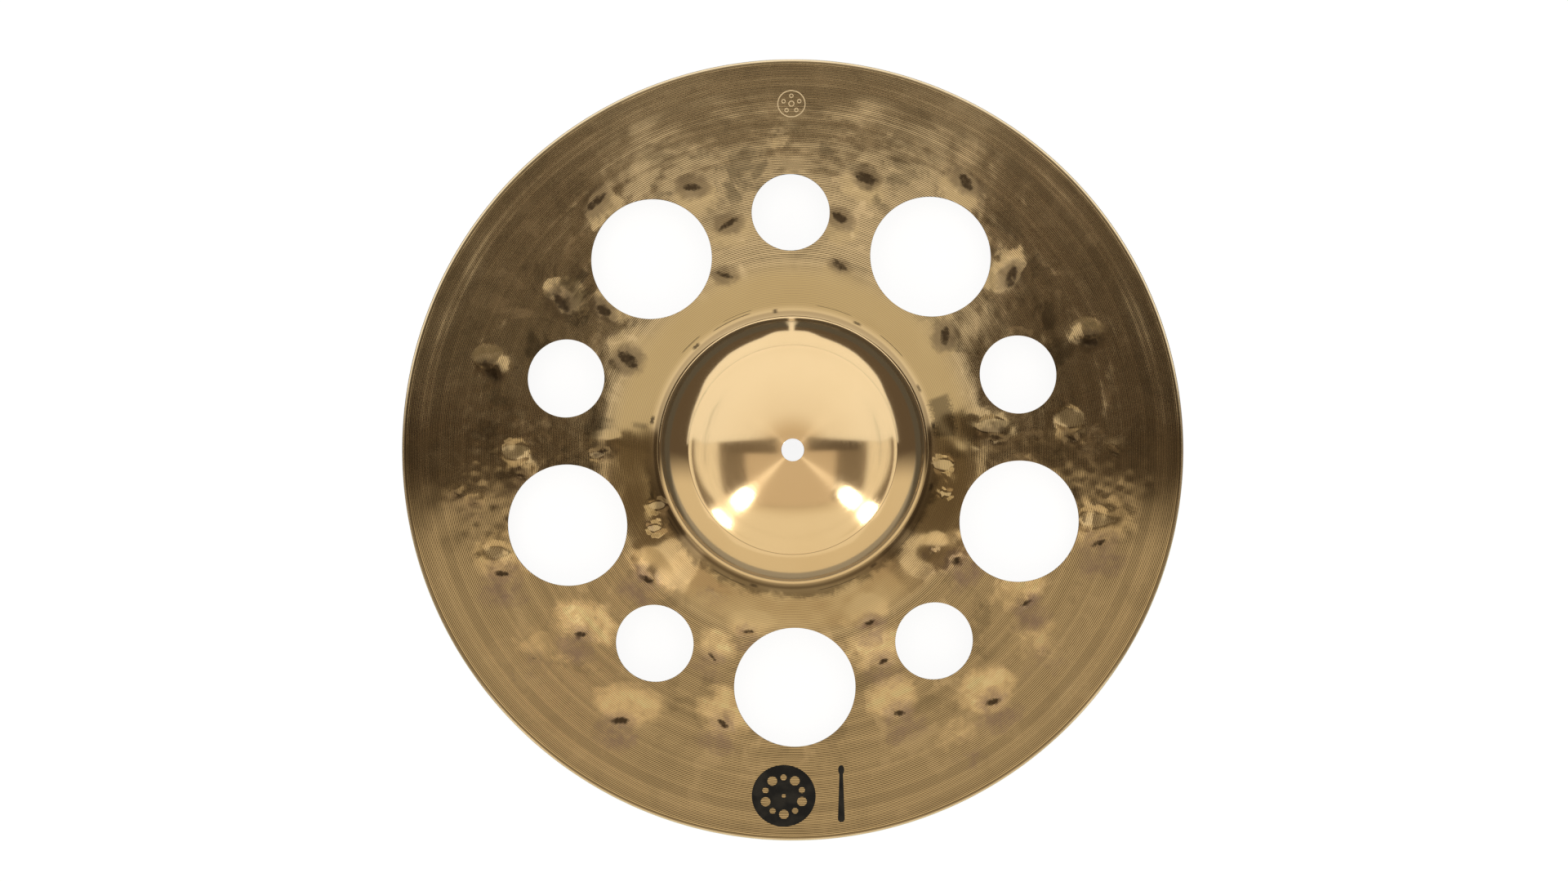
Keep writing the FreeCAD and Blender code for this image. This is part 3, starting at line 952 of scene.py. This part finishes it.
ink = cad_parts["printed_mark"]
ink.data.materials.clear()
ink.data.materials.append(ink_material())


# ---------------------------------------------------------------- stage
FLOOR_HALF, FLOOR_Z = 4.0, -0.0004
WHITE, BLACK = rgb(1.0, 1.0, 1.0), rgb(0, 0, 0)


def floor_material():
    """White to the camera; to everything else a dim diffuse floor with its own glow."""
    material = bpy.data.materials.new("floor_pale")
    tree = empty_tree(material)
    path = add(tree, "ShaderNodeLightPath")
    seen = path.output("Is Camera Ray")
    x, y, _ = xyz_of(add(tree, "ShaderNodeTexCoord").output("Object"))
    # brighter in front, and in a narrow strip at the back
    glow = (y.ramp(-0.10, -0.26, to=(0.07, 0.30))
            + y.ramp(0.18, 0.26, to=(0.0, 0.85)) * (x.abs() - y * 0.02).ramp(0.012, -0.006))
    emission = add(tree, "ShaderNodeEmission",
                   {"Color": WHITE, "Strength": glow + (0.90 - glow) * seen})
    share = path.output("Is Glossy Ray").ramp(0.0, 1.0, to=(0.30, 0.06), smooth=False)
    black = add(tree, "ShaderNodeBsdfDiffuse", {"Color": BLACK})
    pale = add(tree, "ShaderNodeBsdfDiffuse", {"Color": rgb(0.85, 0.84, 0.82)})
    diffuse = add(tree, "ShaderNodeMixShader", {0: share, 1: black, 2: pale})
    set_output("ShaderNodeOutputMaterial",
               add(tree, "ShaderNodeAddShader", {0: diffuse, 1: emission}))
    return material


def add_floor():
    mesh = bpy.data.meshes.new("floor")
    corners = [(-1, -1), (1, -1), (1, 1), (-1, 1)]
    mesh.from_pydata([(x * FLOOR_HALF, y * FLOOR_HALF, FLOOR_Z) for x, y in corners],
                     [], [(0, 1, 2, 3)])
    ob = bpy.data.objects.new("floor", mesh)
    bpy.context.scene.collection.objects.link(ob)
    mesh.materials.append(floor_material())


add_floor()

# Colours of the room.
ROOM_DARK, ROOM_TAN = rgb(0.115, 0.092, 0.072), rgb(0.70, 0.635, 0.52)
CARD_MID, CARD_FRONT = rgb(0.62, 0.53, 0.43), rgb(0.82, 0.77, 0.67)
CARD_SIDE, CARD_SEAM = rgb(0.90, 0.85, 0.76), rgb(0.38, 0.31, 0.23)
GAP, GAP_RIGHT, GAP_LEFT = rgb(0.20, 0.165, 0.13), rgb(0.10, 0.08, 0.062), rgb(0.16, 0.13, 0.10)
SCRIM_AXIS, SCRIM_LIT = rgb(0.58, 0.47, 0.34), rgb(0.985, 0.975, 0.955)
BELT_DARK, BELT_FRONT = rgb(0.090, 0.072, 0.056), rgb(0.66, 0.60, 0.50)
BELT_LEFT, BELT_BACK = rgb(0.135, 0.118, 0.098), rgb(0.135, 0.108, 0.082)
WINDOW = rgb(0.97, 0.955, 0.93)


def ceiling_colour(dy, out_x, psi):
    """The ceiling, drawn on a flat sheet and drawn in towards the axis below 33.5 degrees."""
    wide = (psi * 1.69 - 2.28).min((psi - 33.5) * 0.184 + 54.3).max(psi) * (math.pi / 180)
    far = wide.sin() / wide.cos().max(0.02)
    x, y = out_x[0] * far, out_x[1] * far
    colour = mix(ROOM_DARK, ROOM_TAN, dy.ramp(0.02, -0.30))
    # Each card: colour, then two bands as axis, start, end, softness.
    cards = [
        # middle card, front card and the seam between them
        (CARD_MID, (y, -0.64, 0.11, 0.03), (x, -1.0, 1.0, 0.03)),
        (CARD_FRONT, (y, -2.0, -0.76, 0.05), (x, -1.3, 1.3, 0.10)),
        (CARD_SEAM, (y, -0.655, -0.625, 0.012), (x, -0.40, 0.42, 0.05)),
        # side cards
        (CARD_SIDE, (x, 0.96, 1.60, 0.02), (y, -1.25, 0.11, 0.02)),
        (CARD_SIDE, (x, -1.60, -0.95, 0.02), (y, -1.25, 0.11, 0.02)),
        # dark gaps, beside the middle card and along its back
        (GAP, (x, 0.44, 0.95, 0.03), (y, -0.60, 0.105, 0.04)),
        (GAP, (x, -0.94, -0.50, 0.03), (y, -0.58, 0.105, 0.04)),
        (GAP_RIGHT, (x, 0.10, 0.80, 0.04), (y, -0.01, 0.105, 0.015)),
        (GAP_LEFT, (x, -0.80, -0.10, 0.04), (y, -0.03, 0.100, 0.015)),
    ]
    for card, (axis, *span), (other_axis, *other_span) in cards:
        colour = mix(colour, card, axis.band(*span) * other_axis.band(*other_span))
    # beyond the side cards
    colour = mix(colour, ROOM_DARK, x.abs().ramp(1.60, 1.66) * y.ramp(-0.25, 0.05))
    # the scrim at the back, dimmer near the axis, where the camera hangs
    narrow = y.ramp(3.2, 4.6)
    wider = y.ramp(0.8, 2.0) * 0.42 - narrow * 0.95
    scrim = (y.ramp(0.095, 0.115) * (1.0 - (x.abs() - wider).ramp(1.74, 1.82))
             * (1.0 - y.ramp(8.0, 10.0)).max(1.0 - out_x[0].abs().ramp(0.012, 0.032)))
    lit = psi.ramp(4.0, 15.0) * 0.82 + psi.ramp(14.0, 32.0) * 0.18
    return mix(colour, mix(SCRIM_AXIS, SCRIM_LIT, lit), scrim)


def belt_colour(out, near):
    """The belt round the ceiling, with a bright window at the back."""
    out_x, out_y = out
    x, y = out_x * near, out_y * near
    colour = mix(BELT_DARK, BELT_FRONT, out_y.ramp(-0.06, -0.28))
    colour = mix(colour, BELT_LEFT, out_x.ramp(-0.35, -0.70) * out_y.ramp(0.05, 0.30))
    colour = mix(colour, BELT_BACK, out_y.ramp(0.30, 0.95))
    window = x.band(-0.56, 0.62, soft=0.03) * y.band(0.08, 1.08, soft=0.06)
    return mix(colour, WINDOW, window)


def add_studio():
    """The room the metal reflects: a big pale scrim overhead at the back, warm pale cards
    in front, dark gaps between.  The camera itself sees white."""
    world = bpy.data.worlds.new("studio")
    bpy.context.scene.world = world
    tree = empty_tree(world)
    dx, dy, dz = xyz_of(add(tree, "ShaderNodeTexCoord").output("Generated"))
    flat = (dx * dx + dy * dy).sqrt().max(1e-4)
    out = (dx / flat, dy / flat)
    psi = calc("ARCTAN2", flat, dz) * (180 / math.pi)      # degrees away from straight up
    belt = belt_colour(out, near=flat / dz.max(0.02))
    colour = mix(ceiling_colour(dy, out, psi), belt, psi.band(33.4, 58.2, soft=0.30))
    seen = add(tree, "ShaderNodeLightPath").output("Is Camera Ray")
    background = add(tree, "ShaderNodeBackground",
                     {"Color": mix(colour, WHITE, seen), "Strength": 1.0})
    set_output("ShaderNodeOutputWorld", background)


add_studio()

SOFTBOX_Z = 1.9
SOFTBOX_SIZE = 0.090 * SOFTBOX_Z
SOFTBOX_RADIANCE = 45.0
# Name, then x and y as shares of the height.
SOFTBOXES = [("softbox_left", -0.348, -0.332), ("softbox_right", 0.398, -0.338)]


def add_softbox(name, x, y):
    """A small gridded softbox aimed at the origin: its beam is held on the bell, and falls
    to 2 % between 64 and 78 mm from the axis."""
    data = bpy.data.lights.new(name, "AREA")
    data.shape = "SQUARE"
    data.size = SOFTBOX_SIZE
    data.energy = SOFTBOX_RADIANCE * math.pi * SOFTBOX_SIZE * SOFTBOX_SIZE
    data.color = (1.0, 0.985, 0.95)
    tree = empty_tree(data)
    geometry = add(tree, "ShaderNodeNewGeometry")
    start_x, start_y, _ = xyz_of(geometry.output("Position"))
    ray_x, ray_y, _ = xyz_of(geometry.output("Incoming"))
    length = add(tree, "ShaderNodeLightPath").output("Ray Length")
    hit_x, hit_y = start_x + ray_x * length, start_y + ray_y * length
    reach = (hit_x * hit_x + hit_y * hit_y).sqrt() * 1000.0
    beam = reach.ramp(64.0, 78.0, to=(1.0, 0.02))
    set_output("ShaderNodeOutputLight", add(tree, "ShaderNodeEmission", {"Strength": beam}))
    ob = bpy.data.objects.new(name, data)
    ob.location = (x, y, SOFTBOX_Z)
    ob.rotation_mode = "QUATERNION"
    ob.rotation_quaternion = Vector((-x, -y, -SOFTBOX_Z)).to_track_quat("-Z", "Y")
    ob.visible_camera = False
    bpy.context.scene.collection.objects.link(ob)


for name, share_x, share_y in SOFTBOXES:
    add_softbox(name, share_x * SOFTBOX_Z, share_y * SOFTBOX_Z)

# ---------------------------------------------------------------- camera
CAMERA_Z = 1.22
RIM_ON_SENSOR = 8.9675625                  # radius of the rim's image, mm
camera = bpy.data.cameras.new("camera")
camera.sensor_width = 36.0
# the rim is widest at the height of its edge rounding
camera.lens = RIM_ON_SENSOR / RIM_R * (CAMERA_Z * 1000 - EDGE_ROUND)
camera.shift_x = -0.0055677083
camera.shift_y = 0.0056666667
camera.clip_start = 0.05
camera.clip_end = 50
camera_ob = bpy.data.objects.new("camera", camera)
camera_ob.location = (0, 0, CAMERA_Z)
camera_ob.rotation_euler = (0, 0, math.radians(-0.5))
bpy.context.scene.collection.objects.link(camera_ob)
bpy.context.scene.camera = camera_ob

view = bpy.context.scene.view_settings
view.view_transform = "Standard"
view.look = "None"
view.exposure = 0.0
view.gamma = 1.0
